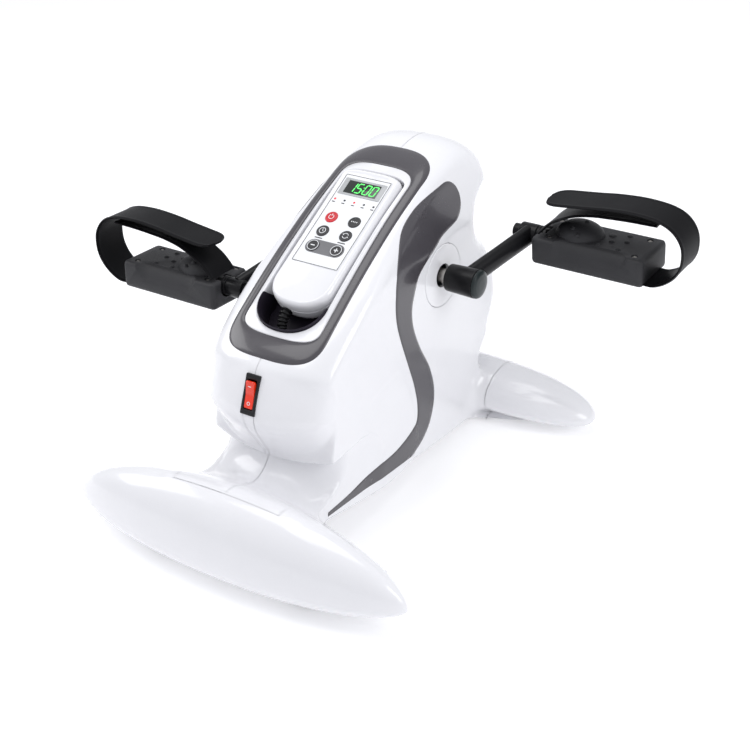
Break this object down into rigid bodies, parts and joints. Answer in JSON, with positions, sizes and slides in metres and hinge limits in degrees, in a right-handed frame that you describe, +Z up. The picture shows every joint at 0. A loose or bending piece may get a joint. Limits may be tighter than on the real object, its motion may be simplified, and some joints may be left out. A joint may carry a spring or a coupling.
{
  "type": "motorised pedal exerciser",
  "caption": "Floor-standing motorised pedal exerciser: glossy two-half casing on two cross feet, strapped pedals on a belt-driven crank, wired handset in a sloping cradle.",
  "frame": {"origin": "on the floor, under the middle of the machine's overall length and width", "axes": "+Z up; +X to the machine's right, along the crankshaft; -Y towards the console end with the wide front foot, +Y to the rear"},
  "size_m": [0.594, 0.46, 0.3125],
  "materials": {
    "casing_white": "gloss, moulded",
    "trim_grey": "gloss, dark grey",
    "pedal_charcoal": "matte, fine texture",
    "crank_black": "gloss black",
    "strap_rubber": "matte rubber",
    "steel": "turned",
    "frame_paint": "satin black",
    "switch_black": "gloss",
    "switch_red": "translucent red",
    "label_print": "satin printed film",
    "display_glass": "smoked window",
    "button_red": "satin",
    "button_black": "satin",
    "board_green": "circuit board",
    "cord_rubber": "soft cable sheath",
    "pad_rubber": "matte"
  },
  "bodies": {
    "base": {"left_shell": "casing_white", "right_shell": "casing_white", "bottom_plate": "frame_paint", "front_foot": "casing_white", "rear_foot_left": "casing_white", "rear_foot_right": "casing_white", "front_cross_tube": "frame_paint", "rear_cross_tube": "frame_paint", "frame_spine": "frame_paint", "axle_stand": "frame_paint", "left_bearing": "steel", "right_bearing": "steel", "drive_belt": "strap_rubber", "gear_motor": "steel", "motor_bracket": "frame_paint", "control_board": "board_green", "power_inlet": "switch_black", "rocker_frame": "switch_black", "left_stripe": "trim_grey", "right_stripe": "trim_grey", "left_hub_cover": "casing_white", "right_hub_cover": "casing_white", "console_bezel": "trim_grey", "console_cradle": "casing_white", "cord_grommet": "cord_rubber", "front_left_pad": "pad_rubber", "front_right_pad": "pad_rubber", "rear_left_pad": "pad_rubber", "rear_right_pad": "pad_rubber", "handset_cord": "cord_rubber", "handset_cord_coil": "cord_rubber", "handset_cord_tail": "cord_rubber"},
    "crankset": {"crankshaft": "steel", "driven_pulley": "steel", "left_crank": "crank_black", "right_crank": "crank_black", "left_crank_cap": "trim_grey", "right_crank_cap": "trim_grey", "left_spindle": "crank_black", "right_spindle": "crank_black"},
    "left_pedal_set": {"left_pedal": "pedal_charcoal", "left_strap_outer": "strap_rubber", "left_strap_inner": "strap_rubber"},
    "right_pedal_set": {"right_pedal": "pedal_charcoal", "right_strap_outer": "strap_rubber", "right_strap_inner": "strap_rubber"},
    "motor_wheel": {"motor_pulley": "steel"},
    "power_rocker": {"rocker_button": "switch_red"},
    "handset": {"handset_front": "casing_white", "handset_back": "casing_white", "handset_label": "label_print", "display_window": "display_glass", "handset_board": "board_green", "handset_strain_relief": "cord_rubber"},
    "key_power": {"button_power": "button_red"},
    "key_mode": {"button_mode": "button_black"},
    "key_timer": {"button_timer": "button_black"},
    "key_reverse": {"button_reverse": "button_black"},
    "key_minus": {"button_minus": "button_black"},
    "key_plus": {"button_plus": "button_black"}
  },
  "joints": [
    {"name": "crank_spin", "type": "hinge", "parent": "base", "child": "crankset", "pos_m": [0, 0.096, 0.2025], "axis": [1, 0, 0], "continuous": true},
    {"name": "right_pedal_spin", "type": "hinge", "parent": "crankset", "child": "right_pedal_set", "pos_m": [0.19, 0.19117, 0.21655], "axis": [1, 0, 0], "continuous": true},
    {"name": "left_pedal_spin", "type": "hinge", "parent": "crankset", "child": "left_pedal_set", "pos_m": [-0.19, 0.00083, 0.18845], "axis": [1, 0, 0], "continuous": true},
    {"name": "motor_pulley_spin", "type": "hinge", "parent": "base", "child": "motor_wheel", "pos_m": [0.034, -0.02, 0.105], "axis": [1, 0, 0], "continuous": true},
    {"name": "power_rocker_tilt", "type": "hinge", "parent": "base", "child": "power_rocker", "pos_m": [0, -0.13607, 0.17379], "axis": [1, 0, 0], "range_deg": [-18, 0]},
    {"name": "handset_lift", "type": "slide", "parent": "base", "child": "handset", "axis": [0, -0.4115, 0.9114], "range_m": [0, 0.06]},
    {"name": "power_key_press", "type": "slide", "parent": "handset", "child": "key_power", "axis": [0, 0.4115, -0.9114], "range_m": [0, 0.0008], "stiffness_N_per_m": 300},
    {"name": "mode_key_press", "type": "slide", "parent": "handset", "child": "key_mode", "axis": [0, 0.4115, -0.9114], "range_m": [0, 0.0008], "stiffness_N_per_m": 300},
    {"name": "timer_key_press", "type": "slide", "parent": "handset", "child": "key_timer", "axis": [0, 0.4115, -0.9114], "range_m": [0, 0.0008], "stiffness_N_per_m": 300},
    {"name": "reverse_key_press", "type": "slide", "parent": "handset", "child": "key_reverse", "axis": [0, 0.4115, -0.9114], "range_m": [0, 0.0008], "stiffness_N_per_m": 300},
    {"name": "minus_key_press", "type": "slide", "parent": "handset", "child": "key_minus", "axis": [0, 0.4115, -0.9114], "range_m": [0, 0.0008], "stiffness_N_per_m": 300},
    {"name": "plus_key_press", "type": "slide", "parent": "handset", "child": "key_plus", "axis": [0, 0.4115, -0.9114], "range_m": [0, 0.0008], "stiffness_N_per_m": 300}
  ],
  "couplings": [
    {"joint": "motor_pulley_spin", "follows": "crank_spin", "ratio": 4}
  ]
}
